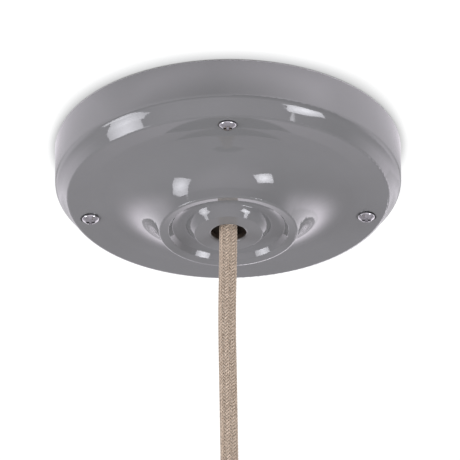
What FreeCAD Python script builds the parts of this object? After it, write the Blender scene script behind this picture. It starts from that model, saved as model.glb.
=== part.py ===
# Ceiling rose of glazed ceramic with a braided flex. Millimetres, +Z up.
# The origin is the centre of the ceiling plane, and everything hangs below it.
import FreeCAD, Part
import math
import os
import Sketcher

V = FreeCAD.Vector
UP = V(0, 0, 1)

doc = FreeCAD.newDocument("ceiling_rose")
sheet = doc.addObject("Spreadsheet::Sheet", "Sizes")

# Driving sizes. A depth is measured downwards from the ceiling.
SIZES = {
    "cover": {
        "cover_radius": 70.0, "rim_round": 0.6, "band_depth": 17.3, "band_round": 3.2,
        "cove_in": 1.81, "cove_depth": 19.17, "cove_round": 15.0,
        "edge_in": 4.85, "edge_depth": 23.75, "edge_round": 1.2,
        "dish_in": 14.0, "face_depth": 23.1, "dish_round": 20.0,
        "trumpet_radius": 35.6, "trumpet_fullness": 1.09,
        "lip_radius": 27.9, "lip_depth": 39.45, "lip_round": 0.9,
        "land_radius": 24.3, "land_depth": 38.8, "land_round": 0.5,
        "step_radius": 22.7, "step_depth": 36.6, "step_round": 0.8,
        "bowl_radius": 19.8, "bowl_depth": 35.6, "bowl_round": 6.0,
        "foot_radius": 17.2, "foot_depth": 35.8, "foot_round": 1.2,
        "boss_radius": 15.9, "boss_depth": 37.9, "boss_round": 8.0,
        "ring_radius": 13.75, "disc_depth": 40.2, "ring_round": 0.4,
        "cord_hole_radius": 7.1, "cord_hole_round": 0.8, "well_radius": 9.6, "well_wall": 3.6,
        "side_wall": 5.0, "face_wall": 4.3, "floor_wall": 5.7,
        "inner_corner_round": 4.0, "inner_trumpet_in": 2.9, "inner_trumpet_round": 14.0,
        "inner_floor_round": 2.0,
    },
    "cover screws": {
        "screw_circle_in": 11.9, "side_screw_angle": 15.85,
        "screw_hole_radius": 2.1, "screw_seat_radius": 4.1, "screw_seat_depth": 22.9,
        "screw_radius": 1.7, "screw_length": 16.0,
        "head_radius": 3.5, "head_height": 2.3, "head_edge": 0.7,
        "recess_half_width": 0.5, "recess_reach": 1.75, "recess_depth": 1.2,
    },
    "back plate": {
        "plate_gap": 2.5, "plate_thickness": 1.5, "entry_radius": 10.0,
        "slot_spacing": 50.8, "slot_length": 14.0, "slot_width": 5.0,
        "pillar_radius": 4.0, "pillar_gap": 0.3, "spigot_radius": 2.5,
        "thread_clearance": 0.1, "rivet_clearance": 0.05,
    },
    "terminals": {
        "block_y": 32.0, "block_length": 18.0, "block_base": 5.0, "block_height": 12.0,
        "pole_pitch": 12.6, "pole_width": 7.0,
        "tube_depth": 8.0, "tube_radius": 2.7, "tube_bore": 1.6, "tube_length": 15.0,
        "tube_clearance": 0.1,
        "terminal_spacing": 9.0, "terminal_screw_radius": 1.4, "terminal_head_radius": 1.9,
        "terminal_head_height": 1.5, "terminal_well_radius": 2.1,
        "block_screw_radius": 1.4, "block_screw_head": 2.6, "block_screw_head_height": 1.8,
        "block_screw_length": 7.0,
    },
    "earth": {
        "earth_x": -22.0, "earth_y": -26.0, "earth_screw_radius": 1.9, "earth_head_radius": 3.8,
        "earth_head_height": 2.4, "earth_screw_length": 4.5,
        "washer_radius": 4.4, "washer_thickness": 0.8,
        "tag_radius": 3.9, "tag_thickness": 0.8, "tag_length": 6.0,
        "tag_barrel_radius": 1.7, "tag_barrel_length": 6.0,
    },
    "cord retainer": {
        "retainer_radius": 12.0, "retainer_height": 11.0, "retainer_clearance": 0.2,
        "clamp_screw_radius": 2.4, "clamp_screw_length": 5.5, "slot_cut": 0.8,
    },
    "flex": {"flex_radius": 3.6, "core_radius": 1.15, "core_spread": 1.5, "sheath_past_retainer": 2.0},
    "lampholder": {
        "holder_top": 155.0, "holder_x": -0.3, "cap_radius": 20.0, "cap_height": 21.0,
        "cap_collar_radius": 7.5, "cap_collar_height": 6.0, "cap_round": 9.0, "cap_wall": 2.2,
        "holder_radius": 20.6, "holder_height": 34.0, "holder_wall": 2.4,
        "insert_radius": 17.6, "insert_thickness": 8.0, "insert_drop": 2.0,
        "socket_radius": 13.7, "socket_wall": 0.4, "socket_length": 20.0,
        "contact_width": 6.0, "contact_thickness": 0.5, "contact_length": 9.0, "contact_drop": 2.0,
    },
}


def fill_sheet():
    row = 1
    for heading, sizes in SIZES.items():
        sheet.set(f"A{row}", heading)
        row += 1
        for name, number in sizes.items():
            sheet.set(f"A{row}", name)
            sheet.set(f"B{row}", str(number))
            sheet.setAlias(f"B{row}", name)
            row += 1
    doc.recompute()


def size(expression):
    """The number that an expression of sheet names comes to."""
    return float(sheet.evalExpression(sheet_names(expression)))


def sheet_names(expression):
    """Writes the sheet's name before each of its aliases in an expression."""
    words = ""
    word = ""
    for letter in str(expression) + " ":
        if letter.isalnum() or letter in "_.":
            word += letter
        else:
            known = any(word in sizes for sizes in SIZES.values())
            words += ("Sizes." + word if known else word) + letter
            word = ""
    return words.strip()


def bind(thing, path, expression):
    thing.setExpression(path, sheet_names(expression))


def bind_place(thing, x="0", y="0", z="0"):
    for axis, expression in zip("xyz", (x, y, z)):
        bind(thing, "Placement.Base." + axis, expression)


# Sketch helpers

def new_body(label):
    body = doc.addObject("PartDesign::Body", label)
    body.Label = label
    return body


def new_sketch(body, name, role="XY_Plane", lift=None):
    """A sketch on one of the body's own planes, lifted along Z where asked."""
    sketch = body.newObject("Sketcher::SketchObject", name)
    plane = [f for f in body.Origin.OriginFeatures if f.Role == role][0]
    sketch.AttachmentSupport = [(plane, "")]
    sketch.MapMode = "FlatFace"
    if lift is not None:
        bind(sketch, "AttachmentOffset.Base.z", lift)
    return sketch


def pin(sketch, geometry, point, x, y):
    """Ties one point of the sketch to two expressions."""
    for kind, expression in (("DistanceX", x), ("DistanceY", y)):
        constraint = sketch.addConstraint(
            Sketcher.Constraint(kind, -1, 1, geometry, point, size(expression)))
        bind(sketch, f"Constraints[{constraint}]", expression)


def corner_arc(before, corner, after, radius):
    """Tangent points, centre and angles of a round of this radius at a corner."""
    back = (before - corner).normalize()
    on = (after - corner).normalize()
    half = back.getAngle(on) / 2
    reach = radius / math.tan(half)
    centre = corner + (back + on).normalize() * (radius / math.sin(half))
    return corner + back * reach, corner + on * reach, centre


def add_outline(sketch, corners):
    """Closed outline of straight lines, with a round at each corner that has one.

    A corner is (x, y) or (x, y, round), each an expression of sheet names.
    """
    points = [V(size(c[0]), size(c[1]), 0) for c in corners]
    count = len(corners)
    rounds = []
    for i, corner in enumerate(corners):
        if len(corner) == 3:
            radius = size(corner[2])
            rounds.append(corner_arc(points[i - 1], points[i], points[(i + 1) % count], radius))
        else:
            rounds.append(None)
    lines = []
    for i in range(count):
        start = rounds[i][1] if rounds[i] else points[i]
        after = (i + 1) % count
        end = rounds[after][0] if rounds[after] else points[after]
        lines.append(sketch.addGeometry(Part.LineSegment(start, end), False))
    for i, corner in enumerate(corners):
        before = lines[i - 1]
        line = lines[i]
        if rounds[i] is None:
            sketch.addConstraint(Sketcher.Constraint("Coincident", before, 2, line, 1))
            pin(sketch, line, 1, corner[0], corner[1])
            continue
        start, end, centre = rounds[i]
        first = math.atan2(start.y - centre.y, start.x - centre.x)
        last = math.atan2(end.y - centre.y, end.x - centre.x)
        clockwise = (last - first) % (2 * math.pi) > math.pi
        if clockwise:
            first, last = last, first
        circle = Part.Circle(centre, V(0, 0, 1), (start - centre).Length)
        arc = sketch.addGeometry(Part.ArcOfCircle(circle, first, last), False)
        at_start, at_end = (2, 1) if clockwise else (1, 2)
        tip = sketch.addGeometry(Part.Point(points[i]), True)
        sketch.addConstraint([
            Sketcher.Constraint("PointOnObject", tip, 1, before),
            Sketcher.Constraint("PointOnObject", tip, 1, line),
            Sketcher.Constraint("Tangent", before, 2, arc, at_start),
            Sketcher.Constraint("Tangent", arc, at_end, line, 1),
        ])
        pin(sketch, tip, 1, corner[0], corner[1])
        radius = sketch.addConstraint(
            Sketcher.Constraint("Radius", arc, (start - centre).Length))
        bind(sketch, f"Constraints[{radius}]", corner[2])


def add_circle(sketch, x, y, radius):
    circle = sketch.addGeometry(
        Part.Circle(V(size(x), size(y), 0), V(0, 0, 1), size(radius)), False)
    pin(sketch, circle, 3, x, y)
    constraint = sketch.addConstraint(Sketcher.Constraint("Radius", circle, size(radius)))
    bind(sketch, f"Constraints[{constraint}]", radius)


def add_rectangle(sketch, x_low, x_high, y_low, y_high):
    add_outline(sketch, [(x_low, y_low), (x_high, y_low), (x_high, y_high), (x_low, y_high)])


# Feature helpers. Each checks that the solid changed as it should.

def revolve(body, name, corners):
    sketch = new_sketch(body, name + "_profile", "XZ_Plane")
    add_outline(sketch, corners)
    turned = body.newObject("PartDesign::Revolution", name)
    turned.Profile = sketch
    turned.ReferenceAxis = (sketch, ["V_Axis"])
    turned.Angle = 360
    doc.recompute()
    return turned


def pad(body, name, sketch, length, upwards=True):
    grown = body.newObject("PartDesign::Pad", name)
    grown.Profile = sketch
    bind(grown, "Length", length)
    grown.Reversed = not upwards
    doc.recompute()
    return grown


def pocket(body, name, sketch, length, upwards):
    """Cuts from the sketch along its normal when upwards, else against it."""
    before = body.Shape.Volume
    cut = body.newObject("PartDesign::Pocket", name)
    cut.Profile = sketch
    bind(cut, "Length", length)
    cut.Reversed = upwards
    doc.recompute()
    if body.Shape.Volume >= before - 1e-6:
        raise RuntimeError(name + " cut nothing")
    return cut


def cylinder(name, radius, height):
    solid = doc.addObject("Part::Cylinder", name)
    bind(solid, "Radius", radius)
    bind(solid, "Height", height)
    return solid


def box(name, length, width, height):
    solid = doc.addObject("Part::Box", name)
    bind(solid, "Length", length)
    bind(solid, "Width", width)
    bind(solid, "Height", height)
    return solid


def turn(thing, axis, angle):
    thing.Placement = FreeCAD.Placement(thing.Placement.Base, FreeCAD.Rotation(axis, angle))


def cut_from(label, base, tools):
    """Base less each tool in turn. The last cut carries the label."""
    result = base
    for i, tool in enumerate(tools):
        cut = doc.addObject("Part::Cut", f"{label}_cut_{i}")
        cut.Base = result
        cut.Tool = tool
        result = cut
    result.Label = label
    return result


def join(label, pieces):
    fused = doc.addObject("Part::MultiFuse", label + "_join")
    fused.Shapes = pieces
    fused.Label = label
    return fused


# Where the three cover screws stand: one at the front, two at the sides.
SCREW_CIRCLE = "(cover_radius - screw_circle_in)"
SCREW_PLACES = [
    ("0", f"-{SCREW_CIRCLE}"),
    (f"{SCREW_CIRCLE} * cos(side_screw_angle)", f"{SCREW_CIRCLE} * sin(side_screw_angle)"),
    (f"-{SCREW_CIRCLE} * cos(side_screw_angle)", f"{SCREW_CIRCLE} * sin(side_screw_angle)"),
]

# The trumpet's curve fills the run between the dish and the boss
DISH_RADIUS = "(cover_radius - dish_in)"
TRUMPET_ROUND = f"({DISH_RADIUS} - trumpet_radius) * trumpet_fullness"

# Depths that several pieces share
INNER_FACE = "(face_depth - face_wall)"
FLOOR = "(bowl_depth - floor_wall)"
FLANK_SLOPE = "((trumpet_radius - lip_radius) / (lip_depth - face_depth))"
INNER_FLOOR_RADIUS = f"(trumpet_radius - inner_trumpet_in - ({FLOOR} - {INNER_FACE}) * {FLANK_SLOPE})"
SHEATH_END = f"({FLOOR} - retainer_height - sheath_past_retainer)"


# Rose cover: one turned profile, outside from the rim to the hole and back up inside

def make_cover():
    body = new_body("rose_cover")
    outside = [
        ("cover_radius", "0", "rim_round"),
        ("cover_radius", "-band_depth", "band_round"),
        ("cover_radius - cove_in", "-cove_depth", "cove_round"),
        ("cover_radius - edge_in", "-edge_depth", "edge_round"),
        (DISH_RADIUS, "-face_depth", "dish_round"),
        ("trumpet_radius", "-face_depth", TRUMPET_ROUND),
        ("lip_radius", "-lip_depth", "lip_round"),
        ("land_radius", "-land_depth", "land_round"),
        ("step_radius", "-step_depth", "step_round"),
        ("bowl_radius", "-bowl_depth", "bowl_round"),
        ("foot_radius", "-foot_depth", "foot_round"),
        ("boss_radius", "-boss_depth", "boss_round"),
        ("ring_radius", "-disc_depth", "ring_round"),
        ("cord_hole_radius", "-disc_depth", "cord_hole_round"),
    ]
    inside = [
        ("cord_hole_radius", "-disc_depth + well_wall", "cord_hole_round"),
        ("well_radius", "-disc_depth + well_wall", "cord_hole_round"),
        ("well_radius", f"-{FLOOR}", "cord_hole_round"),
        (INNER_FLOOR_RADIUS, f"-{FLOOR}", "inner_floor_round"),
        ("trumpet_radius - inner_trumpet_in", f"-{INNER_FACE}", "inner_trumpet_round"),
        ("cover_radius - side_wall", f"-{INNER_FACE}", "inner_corner_round"),
        ("cover_radius - side_wall", "0", "rim_round"),
    ]
    revolve(body, "cover_shell", outside + inside)

    # Flat seats under the screw heads, cut from below, and the holes through them
    start = "-lip_depth - 5"
    seats = new_sketch(body, "seat_circles", lift=start)
    holes = new_sketch(body, "hole_circles", lift=start)
    for x, y in SCREW_PLACES:
        add_circle(seats, x, y, "screw_seat_radius")
        add_circle(holes, x, y, "screw_hole_radius")
    pocket(body, "screw_seats", seats, "lip_depth + 5 - screw_seat_depth", upwards=True)
    pocket(body, "screw_holes", holes, "lip_depth + 5", upwards=True)


def make_cover_screws():
    """Pan-head screws with a cross recess, heads downwards."""
    for number, (x, y) in enumerate(SCREW_PLACES, 1):
        body = new_body(f"cover_screw_{number}")
        revolve(body, f"screw_{number}", [
            ("0", "-head_height"),
            ("head_radius * 0.55", "-head_height", "head_edge"),
            ("head_radius", "-head_height * 0.45", "head_edge"),
            ("head_radius", "0"),
            ("screw_radius", "0"),
            ("screw_radius", "screw_length - screw_radius"),
            ("screw_radius * 0.5", "screw_length"),
            ("0", "screw_length"),
        ])
        recess = new_sketch(body, f"recess_{number}", lift="-head_height")
        w, r = "recess_half_width", "recess_reach"
        add_outline(recess, [
            (r, f"-{w}"), (r, w), (w, w), (w, r), (f"-{w}", r), (f"-{w}", w),
            (f"-{r}", w), (f"-{r}", f"-{w}"), (f"-{w}", f"-{w}"), (f"-{w}", f"-{r}"),
            (w, f"-{r}"), (w, f"-{w}"),
        ])
        pocket(body, f"cross_{number}", recess, "recess_depth", upwards=True)
        bind_place(body, x, y, "-screw_seat_depth")


# Back plate and what is fixed to it

def make_back_plate():
    body = new_body("back_plate")
    disc = new_sketch(body, "plate_disc")
    add_circle(disc, "0", "0", "cover_radius - side_wall - plate_gap")
    pad(body, "plate", disc, "plate_thickness", upwards=False)

    openings = new_sketch(body, "plate_holes")
    add_circle(openings, "0", "0", "entry_radius")
    for x, y in SCREW_PLACES:
        add_circle(openings, x, y, "spigot_radius + rivet_clearance")
    for side in ("-", ""):
        add_circle(openings, f"{side}pole_pitch / 2", "block_y", "block_screw_radius + thread_clearance")
    add_circle(openings, "earth_x", "earth_y", "earth_screw_radius + thread_clearance")
    pocket(body, "plate_openings", openings, "plate_thickness", upwards=False)

    # Ceiling slots: a straight part and round ends, cut one after the other
    reach = "(slot_length - slot_width) / 2"
    straight = new_sketch(body, "slot_straights")
    ends = new_sketch(body, "slot_ends")
    for side in ("-", ""):
        x = f"{side}slot_spacing / 2"
        add_rectangle(straight, f"{x} - {reach}", f"{x} + {reach}", "-slot_width / 2", "slot_width / 2")
        add_circle(ends, f"{x} - {reach}", "0", "slot_width / 2")
        add_circle(ends, f"{x} + {reach}", "0", "slot_width / 2")
    pocket(body, "slots", straight, "plate_thickness", upwards=False)
    pocket(body, "slot_rounds", ends, "plate_thickness", upwards=False)


def make_pillars():
    """Tapped pillars, each riveted through the plate by its spigot."""
    bore = "screw_radius + thread_clearance"
    foot = f"({INNER_FACE} - pillar_gap)"
    for number, (x, y) in enumerate(SCREW_PLACES, 1):
        body = new_body(f"cover_pillar_{number}")
        revolve(body, f"pillar_{number}", [
            (bore, "0"), ("spigot_radius", "0"), ("spigot_radius", "-plate_thickness"),
            ("pillar_radius", "-plate_thickness"), ("pillar_radius", f"-{foot}"),
            (bore, f"-{foot}"),
        ])
        bind_place(body, x, y)


def make_terminal_block():
    """Moulded block: a base, and three poles with a bore, two screw wells each."""
    body = new_body("terminal_block")
    half = "(pole_pitch + pole_width / 2)"
    base = new_sketch(body, "block_base_outline", lift="-plate_thickness")
    add_rectangle(base, f"-{half}", half, "block_y - block_length / 2", "block_y + block_length / 2")
    pad(body, "block_floor", base, "block_base", upwards=False)
    poles = new_sketch(body, "pole_outlines", lift="-plate_thickness - block_base")
    for centre in POLE_CENTRES:
        add_rectangle(poles, f"{centre} - pole_width / 2", f"{centre} + pole_width / 2",
                      "block_y - block_length / 2", "block_y + block_length / 2")
    pad(body, "block_poles", poles, "block_height - block_base", upwards=False)

    wells = new_sketch(body, "screw_wells", lift="-tube_depth")
    for centre in POLE_CENTRES:
        for side in ("-", "+"):
            add_circle(wells, centre, f"block_y {side} terminal_spacing / 2", "terminal_well_radius")
    pocket(body, "wells", wells, "plate_thickness + block_height - tube_depth", upwards=False)

    fixings = new_sketch(body, "fixing_holes", lift="-plate_thickness")
    for side in ("-", ""):
        add_circle(fixings, f"{side}pole_pitch / 2", "block_y", "block_screw_radius + thread_clearance")
    pocket(body, "fixings", fixings, "block_base", upwards=False)

    bores = new_sketch(body, "tube_bores", "XZ_Plane")
    for centre in POLE_CENTRES:
        add_circle(bores, centre, "-tube_depth", "tube_radius + tube_clearance")
    # The XZ plane's normal points to -Y, so the cut runs against it to reach the block.
    pocket(body, "bores", bores, "block_y + block_length / 2 + 1", upwards=False)


POLE_CENTRES = ["-pole_pitch", "0", "pole_pitch"]


def make_terminals():
    """Brass tubes in the block's bores, each with two clamp screws from below."""
    count = 0
    for number, centre in enumerate(POLE_CENTRES, 1):
        outer = cylinder(f"tube_outer_{number}", "tube_radius", "tube_length")
        bore = cylinder(f"tube_bore_{number}", "tube_bore", "tube_length + 2")
        for solid, extra in ((outer, "0"), (bore, "1")):
            turn(solid, V(1, 0, 0), -90)
            bind_place(solid, centre, f"block_y - tube_length / 2 - {extra}", "-tube_depth")
        tools = [bore]
        for side in ("-", "+"):
            count += 1
            y = f"block_y {side} terminal_spacing / 2"
            hole = cylinder(f"tube_tapping_{count}", "terminal_screw_radius + thread_clearance", "tube_radius + 1")
            bind_place(hole, centre, y, "-tube_depth - tube_radius - 1")
            tools.append(hole)
            make_terminal_screw(count, centre, y)
        cut_from(f"terminal_tube_{number}", outer, tools)


def make_terminal_screw(count, x, y):
    """Slotted clamp screw: its tip meets the top of a core in the tube."""
    tip = "(tube_depth + core_radius)"
    head_top = "(tube_depth + tube_radius + thread_clearance)"
    shank = cylinder(f"clamp_shank_{count}", "terminal_screw_radius", f"{head_top} - {tip} + terminal_head_height / 2")
    bind_place(shank, x, y, f"-{head_top} - terminal_head_height / 2")
    head = cylinder(f"clamp_head_{count}", "terminal_head_radius", "terminal_head_height")
    bind_place(head, x, y, f"-{head_top} - terminal_head_height")
    slot = box(f"clamp_slot_{count}", "terminal_head_radius * 3", "slot_cut * 0.7", "terminal_head_height")
    bind_place(slot, f"{x} - terminal_head_radius * 1.5", f"{y} - slot_cut * 0.35",
               f"-{head_top} - terminal_head_height * 1.5")
    cut_from(f"terminal_screw_{count}", join(f"clamp_{count}", [shank, head]), [slot])


def make_slotted_screw(label, x, y, seat, radius, length, head_radius, head_height):
    """Cheese-head screw pointing up, its head hanging below the seat."""
    shank = cylinder(label + "_shank", radius, f"{length} + {head_height} / 2")
    bind_place(shank, x, y, f"-({seat}) - {head_height} / 2")
    head = cylinder(label + "_head", head_radius, head_height)
    bind_place(head, x, y, f"-({seat}) - {head_height}")
    slot = box(label + "_slot", f"{head_radius} * 3", "slot_cut", head_height)
    bind_place(slot, f"{x} - {head_radius} * 1.5", f"{y} - slot_cut / 2", f"-({seat}) - {head_height} * 1.5")
    cut_from(label, join(label + "_body", [shank, head]), [slot])


def make_fixings():
    """Two block screws, and the earth screw with its washer and ring tag."""
    seat = "plate_thickness + block_base"
    for number, side in enumerate(("-", ""), 1):
        make_slotted_screw(f"block_screw_{number}", f"{side}pole_pitch / 2", "block_y", seat,
                           "block_screw_radius", f"{seat} - 0.2", "block_screw_head",
                           "block_screw_head_height")
    stack = "(plate_thickness + tag_thickness + washer_thickness)"
    make_slotted_screw("earth_screw", "earth_x", "earth_y", stack, "earth_screw_radius",
                       f"{stack} - 0.2", "earth_head_radius", "earth_head_height")

    outer = cylinder("washer_disc", "washer_radius", "washer_thickness")
    hole = cylinder("washer_hole", "earth_screw_radius + thread_clearance", "washer_thickness")
    for solid in (outer, hole):
        bind_place(solid, "earth_x", "earth_y", f"-{stack}")
    cut_from("earth_washer", outer, [hole])

    ring = cylinder("tag_ring", "tag_radius", "tag_thickness")
    tongue = box("tag_tongue", "tag_length", "tag_radius", "tag_thickness")
    barrel = cylinder("tag_barrel", "tag_barrel_radius", "tag_barrel_length")
    turn(barrel, V(0, 1, 0), 90)
    level = "-plate_thickness - tag_thickness"
    bind_place(ring, "earth_x", "earth_y", level)
    bind_place(tongue, "earth_x", "earth_y - tag_radius / 2", level)
    bind_place(barrel, "earth_x + tag_length", "earth_y", "-plate_thickness - tag_barrel_radius - 0.1")
    hole = cylinder("tag_hole", "earth_screw_radius + thread_clearance", "tag_thickness")
    bind_place(hole, "earth_x", "earth_y", level)
    throat = cylinder("tag_throat", "core_radius + 0.05", "tag_barrel_length")
    turn(throat, V(0, 1, 0), 90)
    bind_place(throat, "earth_x + tag_length + 1.5", "earth_y", "-plate_thickness - tag_barrel_radius - 0.1")
    cut_from("earth_tag", join("tag", [ring, tongue, barrel]), [hole, throat])


def make_cord_retainer():
    """Nylon collar on the cover's floor, with a slotted screw that clamps the flex."""
    outer = cylinder("collar", "retainer_radius", "retainer_height")
    bore = cylinder("collar_bore", "flex_radius + retainer_clearance", "retainer_height")
    for solid in (outer, bore):
        bind_place(solid, z=f"-{FLOOR}")
    tapping = cylinder("collar_tapping", "clamp_screw_radius + thread_clearance", "retainer_radius")
    middle = f"-{FLOOR} + retainer_height / 2"
    turn(tapping, V(1, 0, 0), 90)
    bind_place(tapping, y="-flex_radius", z=middle)
    cut_from("cord_retainer", outer, [bore, tapping])

    screw = cylinder("clamp_body", "clamp_screw_radius", "clamp_screw_length")
    turn(screw, V(1, 0, 0), 90)
    bind_place(screw, y="-flex_radius - 0.05", z=middle)
    slot = box("clamp_screw_slot", "clamp_screw_radius * 3", "1.2", "slot_cut")
    bind_place(slot, "-clamp_screw_radius * 1.5", "-flex_radius - 0.05 - clamp_screw_length",
               f"{middle} - slot_cut / 2")
    cut_from("retainer_screw", screw, [slot])


# Flex and cores: round tubes along straight runs joined by tangent arcs

def tube_along(label, points, radius):
    """Sweeps a circle along the route, with each arc as large as its two runs allow."""
    edges = []
    start = points[0]
    length = 0.0
    radii = []
    for before, corner, after in zip(points, points[1:], points[2:]):
        back = (before - corner).normalize()
        on = (after - corner).normalize()
        half_turn = (math.pi - back.getAngle(on)) / 2
        reach = 0.45 * min((before - corner).Length, (after - corner).Length)
        bend = reach / math.tan(half_turn)
        radii.append(round(bend, 1))
        first = corner + back * reach
        last = corner + on * reach
        middle = corner + (back + on).normalize() * (bend / math.cos(half_turn) - bend)
        edges.append(Part.LineSegment(start, first).toShape())
        edges.append(Part.Arc(first, middle, last).toShape())
        length += (first - start).Length + bend * 2 * half_turn
        start = last
    edges.append(Part.LineSegment(start, points[-1]).toShape())
    length += (points[-1] - start).Length
    path = Part.Wire(edges)
    section = Part.Wire(Part.Circle(points[0], points[1] - points[0], radius).toShape())
    solid = path.makePipeShell([section], True, True)
    wanted = math.pi * radius ** 2 * length
    print(label, "length", round(length, 1), "bend radii", radii, "volume ratio", round(solid.Volume / wanted, 4))
    feature = doc.addObject("Part::Feature", label)
    feature.Label = label
    feature.Shape = solid
    feature.Placement = FreeCAD.Placement()


def make_flex():
    """The flex hangs almost plumb, a little bowed as in the photograph."""
    route = [
        V(0, 0, -size(SHEATH_END)),
        V(0, 0, -45),
        V(-1.0, 0, -78),
        V(-0.5, 0, -118),
        V(size("holder_x"), 0, -size("holder_top") - 2.0),
    ]
    tube_along("flex", route, size("flex_radius"))


def make_cores():
    """Live and neutral run to the outer terminals, earth to its tag."""
    radius = size("core_radius")
    spread = size("core_spread")
    end = -size(SHEATH_END)
    block_front = size("block_y - block_length / 2")
    for label, side in (("live_core", -1), ("neutral_core", 1)):
        pole = side * size("pole_pitch")
        depth = -size("tube_depth")
        tube_along(label, [
            V(side * spread, 0.9, end),
            V(side * spread, 0.9, end + 7.0),
            V(side * (spread + 4.0), 8.5, depth - 0.4),
            V(pole, block_front - 5.5, depth),
            V(pole, block_front + 6.5, depth),
        ], radius)
    earth_depth = -size("plate_thickness + tag_barrel_radius") - 0.1
    tag_x = size("earth_x + tag_length + 1.5")
    earth_y = size("earth_y")
    tube_along("earth_core", [
        V(0, -spread, end),
        V(0, -spread, end + 7.0),
        V(0.8, -10.0, earth_depth - 4.0),
        V(-0.5, earth_y + 7.0, earth_depth - 1.0),
        V(-6.0, earth_y, earth_depth),
        V(tag_x, earth_y, earth_depth),
    ], radius)


# Lampholder at the flex's lower end

def make_lampholder():
    cap = new_body("holder_cap")
    revolve(cap, "cap_shell", [
        ("flex_radius + retainer_clearance", "0"),
        ("cap_collar_radius", "0", "cap_wall / 2"),
        ("cap_collar_radius", "-cap_collar_height", "cap_wall / 2"),
        ("cap_radius", "-cap_collar_height", "cap_round"),
        ("cap_radius", "-cap_height"),
        ("cap_radius - cap_wall", "-cap_height"),
        ("cap_radius - cap_wall", "-cap_collar_height - cap_wall", "cap_round - cap_wall"),
        ("flex_radius + retainer_clearance", "-cap_collar_height - cap_wall"),
    ])
    bind_place(cap, "holder_x", "0", "-holder_top")

    body = new_body("holder_body")
    revolve(body, "body_sleeve", [
        ("holder_radius - holder_wall - 2", "0"),
        ("holder_radius", "0", "0.6"),
        ("holder_radius", "-holder_height", "0.8"),
        ("holder_radius - holder_wall", "-holder_height", "0.8"),
        ("holder_radius - holder_wall", "-insert_drop"),
        ("holder_radius - holder_wall - 2", "-insert_drop"),
    ])
    bind_place(body, "holder_x", "0", "-holder_top - cap_height")

    insert = new_body("holder_insert")
    revolve(insert, "insert_disc", [
        ("0", "-insert_drop"),
        ("insert_radius", "-insert_drop"),
        ("insert_radius", "-insert_drop - insert_thickness", "0.8"),
        ("0", "-insert_drop - insert_thickness"),
    ])
    bind_place(insert, "holder_x", "0", "-holder_top - cap_height")

    shell = new_body("lamp_socket_shell")
    revolve(shell, "socket_sleeve", [
        ("socket_radius", "0"), ("socket_radius + socket_wall", "0"),
        ("socket_radius + socket_wall", "-socket_length"), ("socket_radius", "-socket_length"),
    ])
    bind_place(shell, "holder_x", "0", "-holder_top - cap_height - insert_drop - insert_thickness")

    contact = new_body("lamp_centre_contact")
    side = new_sketch(contact, "contact_side", "XZ_Plane")
    half = "contact_length / 2"
    add_outline(side, [
        (f"-{half}", "0"),
        ("-contact_length / 4", "0"),
        (half, "-contact_drop + contact_thickness"),
        (half, "-contact_drop"),
        ("-contact_length / 4", "-contact_thickness"),
        (f"-{half}", "-contact_thickness"),
    ])
    strip = pad(contact, "contact_strip", side, "contact_width")
    strip.Midplane = True
    bind_place(contact, "holder_x", "0", "-holder_top - cap_height - insert_drop - insert_thickness")


def check_and_export():
    doc.recompute()
    failed = [o.Name for o in doc.Objects if "Invalid" in o.State or "Error" in o.State]
    if failed:
        raise RuntimeError("failed objects: " + ", ".join(failed))
    used = set()
    for thing in doc.Objects:
        if thing.isDerivedFrom("PartDesign::Body"):
            used.update(o.Name for o in thing.Group)
        elif thing.isDerivedFrom("Part::Feature"):
            used.update(o.Name for o in thing.OutList)
    os.makedirs("parts", exist_ok=True)
    for thing in doc.Objects:
        if thing.Name in used or not thing.isDerivedFrom("Part::Feature"):
            continue
        shape = thing.Shape
        if shape.isNull() or not shape.isValid() or not shape.Solids:
            raise RuntimeError("bad shape: " + thing.Label)
        shape.exportStep(os.path.join("parts", thing.Label + ".step"))
        print(f"{thing.Label}: {len(shape.Solids)} solid, {shape.Volume / 1000:.2f} cm3")


fill_sheet()
make_cover()
make_cover_screws()
make_back_plate()
make_pillars()
make_terminal_block()
make_terminals()
make_fixings()
make_cord_retainer()
make_flex()
make_cores()
make_lampholder()
check_and_export()
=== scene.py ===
"""Glazed ceiling rose with a braided flex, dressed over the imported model. Metres throughout."""

import math

import bmesh
import bpy
from mathutils import Matrix, Vector


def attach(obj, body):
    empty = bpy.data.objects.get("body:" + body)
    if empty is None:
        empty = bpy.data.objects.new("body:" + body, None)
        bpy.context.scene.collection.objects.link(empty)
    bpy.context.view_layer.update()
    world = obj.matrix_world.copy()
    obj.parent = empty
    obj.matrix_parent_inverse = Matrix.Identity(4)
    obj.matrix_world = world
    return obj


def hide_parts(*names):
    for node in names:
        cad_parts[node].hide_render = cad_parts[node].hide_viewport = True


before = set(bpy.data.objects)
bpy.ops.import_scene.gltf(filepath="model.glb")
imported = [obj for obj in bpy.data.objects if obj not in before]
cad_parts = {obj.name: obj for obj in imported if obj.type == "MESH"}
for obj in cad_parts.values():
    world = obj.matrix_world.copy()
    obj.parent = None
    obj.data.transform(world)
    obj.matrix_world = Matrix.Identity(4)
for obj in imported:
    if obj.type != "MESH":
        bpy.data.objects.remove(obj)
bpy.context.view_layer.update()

MM = 0.001

# The flex's own route, as in the part's source
FLEX_ROUTE = [
    (0.0, 0.0, -0.0169),
    (0.0, 0.0, -0.045),
    (-0.0010, 0.0, -0.078),
    (-0.0005, 0.0, -0.118),
    (-0.0003, 0.0, -0.157),
]
ROUTE_CURVE_STEPS = 48

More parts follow.
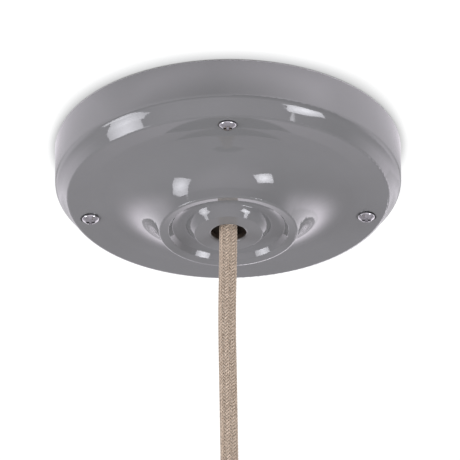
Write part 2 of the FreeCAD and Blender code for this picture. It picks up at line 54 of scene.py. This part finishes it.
# The braid: carriers each way, their angle to the axis, the size of one strand and how far it
# goes up and down where it crosses the others
CARRIERS = 16
BRAID_ANGLE = math.radians(40)
BRAID_RADIUS = 3.24 * MM
STRAND_HALF_WIDTH = 0.41 * MM
STRAND_HALF_THICKNESS = 0.25 * MM
WEAVE_DEPTH = 0.18 * MM
WEAVE_SOFTNESS = 0.12
STEPS_PER_CROSSING = 2
STRAND_SIDES = 6

# The core under the braid, near black: painted shade in the gaps between the strands
CORE_RADIUS = 2.95 * MM
CORE_STEPS = 120
CORE_SIDES = 32

# Material slots of the flex: painted lit and shaded copies of one linen for the two hands, and the core
LIT_HAND_SLOT = 0
SHADED_HAND_SLOT = 1
CORE_SLOT = 2

# The camera, as measured from the photograph
IMAGE_SIZE = 460
ORIGIN_PIXEL = (228.3, 147.8)
CAMERA_DISTANCE = 5.6
CAMERA_ELEVATION = math.radians(30.4)
CAMERA_ROLL = math.radians(0.45)
FOCAL_PIXELS = 13824
SENSOR = 36.0
CAMERA_CLIP_END = 100.0

# The soft boxes, as the rose sees them: bearing from the front, drop below the ceiling plane, lean
# from upright, width and height, all in degrees, and brightness
LAMP_DISTANCE = 1.3
SOFT_BOX_COLOUR = (0.94, 0.94, 1.0)
SOFT_BOXES = {
    "left_softbox": {
        "bearing": -73.2,
        "drop": 29.4,
        "lean": 7.1,
        "width": 22.7,
        "height": 27.2,
        "radiance": 8.3,
    },
    "right_softbox": {
        "bearing": 56.2,
        "drop": 40.6,
        "lean": -5.5,
        "width": 22.0,
        "height": 16.2,
        "radiance": 11.0,
    },
}

# How the light falls off from the middle of a soft box towards its corners, in its own widths
SOFT_BOX_MIDDLE = (0.5, 0.5, 0.0)
SOFT_BOX_REACH = (0.0, 0.7)
SOFT_BOX_FALL = (1.25, 0.35)

# The ceiling: its size, its height over the rose's own plane, its paint, and the light that it
# gives of its own to the camera and to the glaze that mirrors it
CEILING_HALF = 1.6
CEILING_LIFT = 0.0004
CEILING_PAINT = (0.3, 0.305, 0.3)
CEILING_SEEN_GLOW = 0.8
CEILING_MIRRORED_GLOW = 0.85

# The painted contact shadow where the rose meets the ceiling: how far it reaches in front of the
# rose and behind it, and between which places it changes
CONTACT_REACH = (0.010, 0.0035)
CONTACT_SPAN = (-0.075, -0.01)
CONTACT_SAMPLES = 16

# Two lit stretches of the mirrored ceiling, left and right of the front, and its dark back:
# bearing in degrees from the front, and added brightness
CEILING_STRETCHES = [(-105, -0.5), (-88, 0.1), (-55, 0.9), (-5, 0.1), (37, 1.95), (88, 0.1),
                     (105, -0.5)]

# The brighter ceiling away from the rose, behind it
CEILING_FAR = (0.085, 0.16)
CEILING_FAR_GLOW = 1.1
CEILING_BEHIND = (-0.05, 0.05)

# The brighter ceiling close to the rose, in front of it
CEILING_NEAR = (0.078, 0.098)
CEILING_NEAR_GLOW = 1.0
CEILING_BEFORE = (-0.055, -0.075)

# The slight violet cast of what the glaze mirrors
REFLECTED_TINT = (0.97, 0.91, 1.0)

# The even light of the room
ROOM_LIGHT = 0.55

# The light from below the camera: its brightness, and where it starts, forward and downward
FRONT_GLOW = 0.7
FRONT_REACH = (-0.1, -0.9)
FRONT_HEIGHT = (-0.2, -0.5)

# The lit backdrop behind the rose: its added brightness from left to right, and where it starts,
# upward and backward
BACKDROP_GLOW = (1.2, 1.6)
BACKDROP_SIDES = (-0.6, 0.6)
BACKDROP_HEIGHT = (-0.5, -0.02)
BACKDROP_DEPTH = (-0.2, 0.4)

WHITE = (1.0, 1.0, 1.0)
AS_IT_IS = (1.0, 1.0, 1.0)
UPWARD = Vector((0.0, 0.0, 1.0))

# Where a noise texture holds most of its values
NOISE_MIDDLE = (0.3, 0.7)

# The colour sockets of a Mix node, by number because its other kinds share their names
MIX_LOW = 6
MIX_HIGH = 7
MIX_RESULT = 2


# Materials
def new_material(name):
    material = bpy.data.materials.new(name)
    material.use_nodes = True
    nodes = material.node_tree.nodes
    nodes.clear()
    output = nodes.new("ShaderNodeOutputMaterial")
    shader = nodes.new("ShaderNodeBsdfPrincipled")
    material.node_tree.links.new(shader.outputs["BSDF"], output.inputs["Surface"])
    return material, shader


def set_sockets(shader, **values):
    for name, value in values.items():
        shader.inputs[name.replace("_", " ")].default_value = value


def rgba(colour):
    return (*colour, 1.0)


def object_coordinates(tree, scale):
    coordinates = tree.nodes.new("ShaderNodeTexCoord")
    mapping = tree.nodes.new("ShaderNodeMapping")
    mapping.inputs["Scale"].default_value = scale
    tree.links.new(coordinates.outputs["Object"], mapping.inputs["Vector"])
    return mapping.outputs["Vector"]


def noise(tree, scale, detail=3.0, stretch=AS_IT_IS):
    texture = tree.nodes.new("ShaderNodeTexNoise")
    texture.inputs["Scale"].default_value = scale
    texture.inputs["Detail"].default_value = detail
    tree.links.new(object_coordinates(tree, stretch), texture.inputs["Vector"])
    return texture.outputs["Fac"]


def between(tree, factor, low, high):
    """One colour turning into another over the middle of a noise."""
    ramp = tree.nodes.new("ShaderNodeValToRGB")
    for stop, place, colour in zip(ramp.color_ramp.elements, NOISE_MIDDLE, (low, high)):
        stop.position = place
        stop.color = rgba(colour)
    tree.links.new(factor, ramp.inputs["Fac"])
    return ramp.outputs["Color"]


def step_between(tree, value, edges, levels=(0.0, 1.0), kind="SMOOTHSTEP"):
    step = tree.nodes.new("ShaderNodeMapRange")
    step.interpolation_type = kind
    step.inputs["From Min"].default_value = edges[0]
    step.inputs["From Max"].default_value = edges[1]
    step.inputs["To Min"].default_value = levels[0]
    step.inputs["To Max"].default_value = levels[1]
    tree.links.new(value, step.inputs["Value"])
    return step.outputs["Result"]


def combined(tree, operation, first, second):
    node = tree.nodes.new("ShaderNodeMath")
    node.operation = operation
    tree.links.new(first, node.inputs[0])
    if isinstance(second, float):
        node.inputs[1].default_value = second
    else:
        tree.links.new(second, node.inputs[1])
    return node.outputs[0]


def multiplied(tree, first, second):
    return combined(tree, "MULTIPLY", first, second)


def added(tree, first, second):
    return combined(tree, "ADD", first, second)


def separated(tree, vector):
    split = tree.nodes.new("ShaderNodeSeparateXYZ")
    tree.links.new(vector, split.inputs[0])
    return split.outputs


def length_of(tree, vector):
    length = tree.nodes.new("ShaderNodeVectorMath")
    length.operation = "LENGTH"
    tree.links.new(vector, length.inputs[0])
    return length.outputs["Value"]


def mixed(tree, factor, low, high):
    """One colour at factor 0 and another at factor 1, each a socket or plain numbers."""
    mix = tree.nodes.new("ShaderNodeMix")
    mix.data_type = "RGBA"
    tree.links.new(factor, mix.inputs["Factor"])
    for socket, colour in ((mix.inputs[MIX_LOW], low), (mix.inputs[MIX_HIGH], high)):
        if isinstance(colour, tuple):
            socket.default_value = rgba(colour)
        else:
            tree.links.new(colour, socket)
    return mix.outputs[MIX_RESULT]


def add_bump(tree, shader, height, strength, distance):
    bump = tree.nodes.new("ShaderNodeBump")
    bump.inputs["Strength"].default_value = strength
    bump.inputs["Distance"].default_value = distance
    tree.links.new(height, bump.inputs["Height"])
    tree.links.new(bump.outputs["Normal"], shader.inputs["Normal"])


def finish_material(name, low, high, grain, roughness, metallic=0.0, bump=None, **sockets):
    material, shader = new_material(name)
    tree = material.node_tree
    tree.links.new(between(tree, noise(tree, grain), low, high), shader.inputs["Base Color"])
    set_sockets(shader, Roughness=roughness, Metallic=metallic, **sockets)
    if bump:
        scale, strength, distance = bump
        add_bump(tree, shader, noise(tree, scale), strength, distance)
    return material


GLAZE = finish_material("glaze", (0.188, 0.188, 0.192), (0.196, 0.196, 0.201), 60, 0.045,
                        bump=(38, 0.04, 0.4 * MM), IOR=1.56)
SCREW_STEEL = finish_material("screw_steel", (0.38, 0.38, 0.385), (0.54, 0.54, 0.55), 900, 0.18,
                              metallic=1.0)
PLATE_STEEL = finish_material("plate_steel", (0.52, 0.53, 0.54), (0.64, 0.64, 0.63), 90, 0.34,
                              metallic=1.0, bump=(900, 0.05, 0.2 * MM))
BRASS = finish_material("brass", (0.60, 0.42, 0.17), (0.72, 0.52, 0.24), 300, 0.26, metallic=1.0)
MOULDING = finish_material("white_moulding", (0.72, 0.72, 0.69), (0.78, 0.78, 0.75), 200, 0.4)
NYLON = finish_material("clear_nylon", (0.66, 0.67, 0.64), (0.76, 0.77, 0.74), 150, 0.3,
                        Transmission_Weight=0.35, IOR=1.53)
BROWN = finish_material("brown_insulation", (0.13, 0.055, 0.025), (0.17, 0.075, 0.035), 500, 0.42)
BLUE = finish_material("blue_insulation", (0.02, 0.10, 0.36), (0.03, 0.14, 0.45), 500, 0.42)
EARTH = finish_material("earth_insulation", (0.10, 0.30, 0.05), (0.66, 0.60, 0.05), 160, 0.42)
CERAMIC = finish_material("insert_ceramic", (0.70, 0.68, 0.64), (0.78, 0.76, 0.72), 220, 0.3,
                          bump=(700, 0.05, 0.2 * MM))


def braid_material(name, dark, light):
    """Linen yarn: fine warm speckle along each strand, and a matt, slightly hairy surface."""
    material, shader = new_material(name)
    tree = material.node_tree
    speckle = noise(tree, 1500, 4.0, (1.0, 1.0, 0.55))
    tree.links.new(between(tree, speckle, dark, light), shader.inputs["Base Color"])
    set_sockets(shader, Roughness=0.85, Sheen_Weight=1.0, Sheen_Roughness=0.35,
                Sheen_Tint=rgba((0.9, 0.85, 0.78)), Specular_IOR_Level=0.2)
    fibres = noise(tree, 5200, 2.0)
    add_bump(tree, shader, fibres, 0.5, 0.1 * MM)
    return material


# The two hands of the braid share one linen, painted twice: a lit copy, and a darker copy that paints
# the shade on the hand that catches less light
BRAID_LIT_HAND = braid_material("braid_painted_lit", (0.50, 0.389, 0.302), (0.87, 0.71, 0.58))
BRAID_SHADED_HAND = braid_material("braid_painted_shade", (0.36, 0.275, 0.21), (0.74, 0.60, 0.483))
# Painted shade: the core is near black so that the gaps between the strands read dark
BRAID_GAP_SHADE = finish_material("braid_gap_shade", (0.055, 0.042, 0.030), (0.085, 0.064, 0.048), 1500, 0.9)

# Painted shade in the cord well, a near-black, matt colour in place of the glaze: how wide it is,
# where it starts, how soft that edge is, and the colour and roughness of that painted shade
WELL_RADIUS = 10.5 * MM
WELL_MOUTH = -39.3 * MM
WELL_EDGE = 0.3 * MM
WELL_SHADE_COLOUR = (0.045, 0.032, 0.022)
WELL_SHADE_ROUGHNESS = 0.8


def cover_material():
    """The glaze, with painted shade inside the cord hole: near black and matt in the well."""
    material = GLAZE.copy()
    material.name = "cover_glaze"
    tree = material.node_tree
    shader = next(node for node in tree.nodes if node.type == "BSDF_PRINCIPLED")
    glazed = shader.inputs["Base Color"].links[0].from_socket
    radius = length_of(tree, object_coordinates(tree, (1.0, 1.0, 0.0)))
    wide = step_between(tree, radius, (WELL_RADIUS - WELL_EDGE, WELL_RADIUS))
    height = separated(tree, object_coordinates(tree, AS_IT_IS))["Z"]
    low = step_between(tree, height, (WELL_MOUTH + WELL_EDGE, WELL_MOUTH))
    outside = combined(tree, "MAXIMUM", wide, low)
    # Painted shade: inside the well the glaze gives way to the near-black, matt shade colour
    tree.links.new(mixed(tree, outside, WELL_SHADE_COLOUR, glazed), shader.inputs["Base Color"])
    roughness = (WELL_SHADE_ROUGHNESS, shader.inputs["Roughness"].default_value)
    matt = step_between(tree, outside, (0.0, 1.0), roughness)
    tree.links.new(matt, shader.inputs["Roughness"])
    return material


FINISHES = {
    "rose_cover": cover_material(),
    "cover_screw": SCREW_STEEL,
    "back_plate": PLATE_STEEL,
    "cover_pillar": PLATE_STEEL,
    "terminal_block": MOULDING,
    "terminal_tube": BRASS,
    "terminal_screw": PLATE_STEEL,
    "block_screw": PLATE_STEEL,
    "earth_screw": BRASS,
    "earth_washer": BRASS,
    "earth_tag": BRASS,
    "cord_retainer": NYLON,
    "retainer_screw": SCREW_STEEL,
    "live_core": BROWN,
    "neutral_core": BLUE,
    "earth_core": EARTH,
    "holder_cap": GLAZE,
    "holder_body": GLAZE,
    "holder_insert": CERAMIC,
    "lamp_socket_shell": BRASS,
    "lamp_centre_contact": BRASS,
}


def finish_of(name):
    """A piece's finish, by its own name or by that name without its number."""
    stem = name.rstrip("0123456789").rstrip("_")
    return FINISHES.get(name) or FINISHES.get(stem)


def dress_nodes():
    for name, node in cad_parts.items():
        material = finish_of(name)
        if material is None:
            continue
        node.data.materials.clear()
        node.data.materials.append(material)


# The flex
def route_curve():
    curve = bpy.data.curves.new("flex_route", "CURVE")
    curve.dimensions = "3D"
    curve.resolution_u = ROUTE_CURVE_STEPS
    spline = curve.splines.new("NURBS")
    spline.points.add(len(FLEX_ROUTE) - 1)
    for point, place in zip(spline.points, FLEX_ROUTE):
        point.co = (*place, 1.0)
    spline.order_u = 3
    spline.use_endpoint_u = True
    return curve


def route_points():
    """The centreline, read from the spline itself."""
    curve = route_curve()
    holder = bpy.data.objects.new("flex_route", curve)
    mesh = bpy.data.meshes.new_from_object(holder)
    points = [vertex.co.copy() for vertex in mesh.vertices]
    bpy.data.objects.remove(holder)
    bpy.data.meshes.remove(mesh)
    bpy.data.curves.remove(curve)
    if points[0].z < points[-1].z:
        points.reverse()
    return points


class Centreline:
    """Places and directions along the flex, by the length run from its upper end."""

    def __init__(self, points):
        self.points = points
        self.runs = [0.0]
        for before, after in zip(points, points[1:]):
            self.runs.append(self.runs[-1] + (after - before).length)
        self.length = self.runs[-1]

    def at(self, run):
        run = min(max(run, 0.0), self.length)
        last = len(self.points) - 2
        index = min(int(run / self.length * last), last)
        while index > 0 and self.runs[index] > run:
            index -= 1
        while index < last and self.runs[index + 1] < run:
            index += 1
        step = self.runs[index + 1] - self.runs[index]
        share = (run - self.runs[index]) / step
        place = self.points[index].lerp(self.points[index + 1], share)
        along = (self.points[index + 1] - self.points[index]).normalized()
        return place, along


def across(along):
    """Two directions square to the flex and to each other."""
    side = Vector((1.0, 0.0, 0.0))
    side = (side - along * side.dot(along)).normalized()
    return side, along.cross(side)


def add_ring_tube(bm, rings, slot):
    """Skins a row of equal rings of points into a closed tube."""
    made = [[bm.verts.new(point) for point in ring] for ring in rings]
    sides = len(made[0])
    faces = [bm.faces.new(list(reversed(made[0]))), bm.faces.new(made[-1])]
    for before, after in zip(made, made[1:]):
        for i in range(sides):
            j = (i + 1) % sides
            faces.append(bm.faces.new((before[i], before[j], after[j], after[i])))
    for face in faces:
        face.material_index = slot


def smooth_square(phase):
    """Over two and under two, with a quick but soft change between."""
    wave = math.sin(phase)
    return wave * math.sqrt((1 + WEAVE_SOFTNESS) / (wave * wave + WEAVE_SOFTNESS))


def add_strand(bm, line, start_angle, hand, start_phase):
    """One strand of the braid; hand is 1 or -1, the way that it turns around the flex."""
    turn = hand * math.tan(BRAID_ANGLE) / BRAID_RADIUS
    crossing = math.pi / CARRIERS / abs(turn)
    steps = int(line.length / crossing * STEPS_PER_CROSSING)
    rings = []
    for step in range(steps + 1):
        run = line.length * step / steps
        place, along = line.at(run)
        side, rise = across(along)
        angle = start_angle + turn * run
        out = side * math.cos(angle) + rise * math.sin(angle)
        round_way = rise * math.cos(angle) - side * math.sin(angle)
        strand_way = along * math.cos(BRAID_ANGLE) + round_way * hand * math.sin(BRAID_ANGLE)
        flat_way = strand_way.cross(out)
        phase = start_phase + hand * math.pi / 2 * run / crossing
        lift = WEAVE_DEPTH * hand * smooth_square(phase)
        centre = place + out * (BRAID_RADIUS + lift)
        ring = []
        for i in range(STRAND_SIDES):
            turned = math.tau * i / STRAND_SIDES
            ring.append(centre + flat_way * (STRAND_HALF_WIDTH * math.cos(turned))
                        + out * (STRAND_HALF_THICKNESS * math.sin(turned)))
        rings.append(ring)
    # Painted light and shade: one hand of strands takes the lit copy, the other the shaded copy
    add_ring_tube(bm, rings, LIT_HAND_SLOT if hand > 0 else SHADED_HAND_SLOT)


def add_core(bm, line):
    rings = []
    for step in range(CORE_STEPS + 1):
        place, along = line.at(line.length * step / CORE_STEPS)
        side, rise = across(along)
        ring = []
        for i in range(CORE_SIDES):
            turned = math.tau * i / CORE_SIDES
            ring.append(place + side * (CORE_RADIUS * math.cos(turned))
                        + rise * (CORE_RADIUS * math.sin(turned)))
        rings.append(ring)
    add_ring_tube(bm, rings, CORE_SLOT)


def make_flex():
    line = Centreline(route_points())
    bm = bmesh.new()
    add_core(bm, line)
    for hand in (1, -1):
        for carrier in range(CARRIERS):
            start = math.tau * carrier / CARRIERS
            add_strand(bm, line, start, hand, math.pi * carrier + math.pi / 4)
    mesh = bpy.data.meshes.new("flex_braid")
    bmesh.ops.recalc_face_normals(bm, faces=bm.faces)
    bm.to_mesh(mesh)
    bm.free()
    for face in mesh.polygons:
        face.use_smooth = True
    for material in (BRAID_LIT_HAND, BRAID_SHADED_HAND, BRAID_GAP_SHADE):
        mesh.materials.append(material)
    flex = bpy.data.objects.new("flex_braid", mesh)
    bpy.context.scene.collection.objects.link(flex)
    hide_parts("flex")
    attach(flex, "root")


# The surroundings
def mirrored_ceiling(tree):
    """Brightness of the ceiling as the glaze mirrors it."""
    coordinates = tree.nodes.new("ShaderNodeTexCoord").outputs["Object"]
    place = separated(tree, coordinates)
    front = multiplied(tree, place["Y"], -1.0)
    bearing = combined(tree, "ARCTAN2", place["X"], front)
    turn = step_between(tree, bearing, (-math.pi, math.pi), kind="LINEAR")
    ramp = tree.nodes.new("ShaderNodeValToRGB")
    stops = ramp.color_ramp.elements
    while len(stops) < len(CEILING_STRETCHES):
        stops.new(0.5)
    for stop, (degrees, extra) in zip(stops, CEILING_STRETCHES):
        level = CEILING_MIRRORED_GLOW + extra
        stop.position = degrees / 360 + 0.5
        stop.color = rgba((level, level, level))
    tree.links.new(turn, ramp.inputs["Fac"])
    distance = length_of(tree, coordinates)
    away = step_between(tree, distance, CEILING_FAR, (0.0, CEILING_FAR_GLOW))
    far = multiplied(tree, away, step_between(tree, place["Y"], CEILING_BEHIND))
    close = step_between(tree, distance, CEILING_NEAR, (CEILING_NEAR_GLOW, 0.0))
    near = multiplied(tree, close, step_between(tree, place["Y"], CEILING_BEFORE))
    return added(tree, added(tree, ramp.outputs["Color"], far), near)


def seen_ceiling(tree):
    """Brightness of the ceiling as the camera sees it, with a painted contact shadow where the rose
    meets it.
    """
    # Painted shadow: ambient occlusion darkens the ceiling's glow close to the rose
    contact = tree.nodes.new("ShaderNodeAmbientOcclusion")
    contact.samples = CONTACT_SAMPLES
    place = separated(tree, object_coordinates(tree, AS_IT_IS))
    reach = step_between(tree, place["Y"], CONTACT_SPAN, CONTACT_REACH)
    tree.links.new(reach, contact.inputs["Distance"])
    return multiplied(tree, contact.outputs["AO"], CEILING_SEEN_GLOW)


def ceiling_material():
    """White to the camera and to the glaze from below, and clear from above."""
    material = bpy.data.materials.new("ceiling_paint")
    material.use_nodes = True
    tree = material.node_tree
    tree.nodes.clear()
    path = tree.nodes.new("ShaderNodeLightPath")
    seen = multiplied(tree, seen_ceiling(tree), path.outputs["Is Camera Ray"])
    mirrored = multiplied(tree, mirrored_ceiling(tree), path.outputs["Is Glossy Ray"])
    glow = tree.nodes.new("ShaderNodeEmission")
    tree.links.new(added(tree, seen, mirrored), glow.inputs["Strength"])
    tint = mixed(tree, path.outputs["Is Glossy Ray"], WHITE, REFLECTED_TINT)
    tree.links.new(tint, glow.inputs["Color"])
    paint = tree.nodes.new("ShaderNodeBsdfDiffuse")
    paint.inputs["Color"].default_value = rgba(CEILING_PAINT)
    below = tree.nodes.new("ShaderNodeAddShader")
    tree.links.new(paint.outputs[0], below.inputs[0])
    tree.links.new(glow.outputs[0], below.inputs[1])
    above = tree.nodes.new("ShaderNodeBsdfTransparent")
    side = tree.nodes.new("ShaderNodeNewGeometry")
    surface = tree.nodes.new("ShaderNodeMixShader")
    tree.links.new(side.outputs["Backfacing"], surface.inputs["Fac"])
    tree.links.new(below.outputs[0], surface.inputs[1])
    tree.links.new(above.outputs[0], surface.inputs[2])
    output = tree.nodes.new("ShaderNodeOutputMaterial")
    tree.links.new(surface.outputs[0], output.inputs["Surface"])
    return material


def make_ceiling():
    """A square sheet that faces down."""
    mesh = bpy.data.meshes.new("ceiling")
    half = CEILING_HALF
    corners = [(-half, -half, 0), (-half, half, 0), (half, half, 0), (half, -half, 0)]
    mesh.from_pydata(corners, [], [(0, 1, 2, 3)])
    mesh.materials.append(ceiling_material())
    ceiling = bpy.data.objects.new("ceiling", mesh)
    ceiling.location = (0.0, 0.0, CEILING_LIFT)
    bpy.context.scene.collection.objects.link(ceiling)


def make_world():
    """Room light, a backdrop behind the rose and light from below the camera; the camera sees white."""
    world = bpy.data.worlds.new("studio")
    bpy.context.scene.world = world
    world.use_nodes = True
    tree = world.node_tree
    tree.nodes.clear()
    toward = separated(tree, tree.nodes.new("ShaderNodeTexCoord").outputs["Generated"])
    height = step_between(tree, toward["Z"], BACKDROP_HEIGHT)
    glow = step_between(tree, toward["X"], BACKDROP_SIDES, BACKDROP_GLOW)
    depth = multiplied(tree, step_between(tree, toward["Y"], BACKDROP_DEPTH), glow)
    under = step_between(tree, toward["Z"], FRONT_HEIGHT, (0.0, FRONT_GLOW))
    front = multiplied(tree, step_between(tree, toward["Y"], FRONT_REACH), under)
    lit = added(tree, added(tree, front, ROOM_LIGHT), multiplied(tree, height, depth))
    path = tree.nodes.new("ShaderNodeLightPath")
    background = tree.nodes.new("ShaderNodeBackground")
    level = combined(tree, "MAXIMUM", path.outputs["Is Camera Ray"], lit)
    tree.links.new(level, background.inputs["Strength"])
    tint = mixed(tree, path.outputs["Is Glossy Ray"], WHITE, REFLECTED_TINT)
    tree.links.new(tint, background.inputs["Color"])
    output = tree.nodes.new("ShaderNodeOutputWorld")
    tree.links.new(background.outputs[0], output.inputs["Surface"])


def fade_to_edges(light):
    """A soft box is brightest in its middle."""
    light.use_nodes = True
    tree = light.node_tree
    tree.nodes.clear()
    output = tree.nodes.new("ShaderNodeOutputLight")
    glow = tree.nodes.new("ShaderNodeEmission")
    place = tree.nodes.new("ShaderNodeNewGeometry")
    middle = tree.nodes.new("ShaderNodeVectorMath")
    middle.operation = "DISTANCE"
    middle.inputs[1].default_value = SOFT_BOX_MIDDLE
    tree.links.new(place.outputs["Parametric"], middle.inputs[0])
    fade = step_between(tree, middle.outputs["Value"], SOFT_BOX_REACH, SOFT_BOX_FALL, "LINEAR")
    tree.links.new(fade, glow.inputs["Strength"])
    tree.links.new(glow.outputs[0], output.inputs["Surface"])


def soft_box_turn(box):
    """Width, height and direction of a soft box, as the columns of a matrix."""
    bearing, drop, lean = (math.radians(box[angle]) for angle in ("bearing", "drop", "lean"))
    aside = Vector((math.sin(bearing), -math.cos(bearing), 0.0))
    toward = aside * math.cos(drop) - UPWARD * math.sin(drop)
    upright = aside * math.sin(drop) + UPWARD * math.cos(drop)
    height = Matrix.Rotation(lean, 3, toward) @ upright
    return Matrix((height.cross(toward), height, toward)).transposed()


def make_soft_boxes():
    for name, box in SOFT_BOXES.items():
        light = bpy.data.lights.new(name, "AREA")
        light.shape = "RECTANGLE"
        light.size = 2 * LAMP_DISTANCE * math.tan(math.radians(box["width"] / 2))
        light.size_y = 2 * LAMP_DISTANCE * math.tan(math.radians(box["height"] / 2))
        light.energy = box["radiance"] * math.pi * light.size * light.size_y
        light.color = SOFT_BOX_COLOUR
        fade_to_edges(light)
        lamp = bpy.data.objects.new(name, light)
        turn = soft_box_turn(box)
        lamp.matrix_world = Matrix.Translation(turn.col[2] * LAMP_DISTANCE) @ turn.to_4x4()
        lamp.visible_camera = False
        bpy.context.scene.collection.objects.link(lamp)


def make_camera():
    """Looks up at the rose from the front, turned so that the origin falls on its own pixel."""
    data = bpy.data.cameras.new("camera")
    data.sensor_width = SENSOR
    data.sensor_fit = "HORIZONTAL"
    data.lens = FOCAL_PIXELS / IMAGE_SIZE * SENSOR
    data.clip_end = CAMERA_CLIP_END
    camera = bpy.data.objects.new("camera", data)
    bpy.context.scene.collection.objects.link(camera)
    sight = Vector((0.0, math.cos(CAMERA_ELEVATION), math.sin(CAMERA_ELEVATION)))
    above = math.atan((IMAGE_SIZE / 2 - ORIGIN_PIXEL[1]) / FOCAL_PIXELS)
    aside = math.atan((ORIGIN_PIXEL[0] - IMAGE_SIZE / 2) / FOCAL_PIXELS)
    pitch = CAMERA_ELEVATION - above
    forward = Vector((0.0, math.cos(pitch), math.sin(pitch)))
    forward = Matrix.Rotation(aside, 3, "Z") @ forward
    right = forward.cross(UPWARD).normalized()
    up = right.cross(forward)
    rolled_right = right * math.cos(CAMERA_ROLL) - up * math.sin(CAMERA_ROLL)
    rolled_up = up * math.cos(CAMERA_ROLL) + right * math.sin(CAMERA_ROLL)
    turn = Matrix((rolled_right, rolled_up, -forward)).transposed()
    camera.matrix_world = Matrix.Translation(sight * -CAMERA_DISTANCE) @ turn.to_4x4()
    bpy.context.scene.camera = camera


dress_nodes()
make_flex()
make_ceiling()
make_world()
make_soft_boxes()
make_camera()
bpy.context.scene.view_settings.view_transform = "Standard"
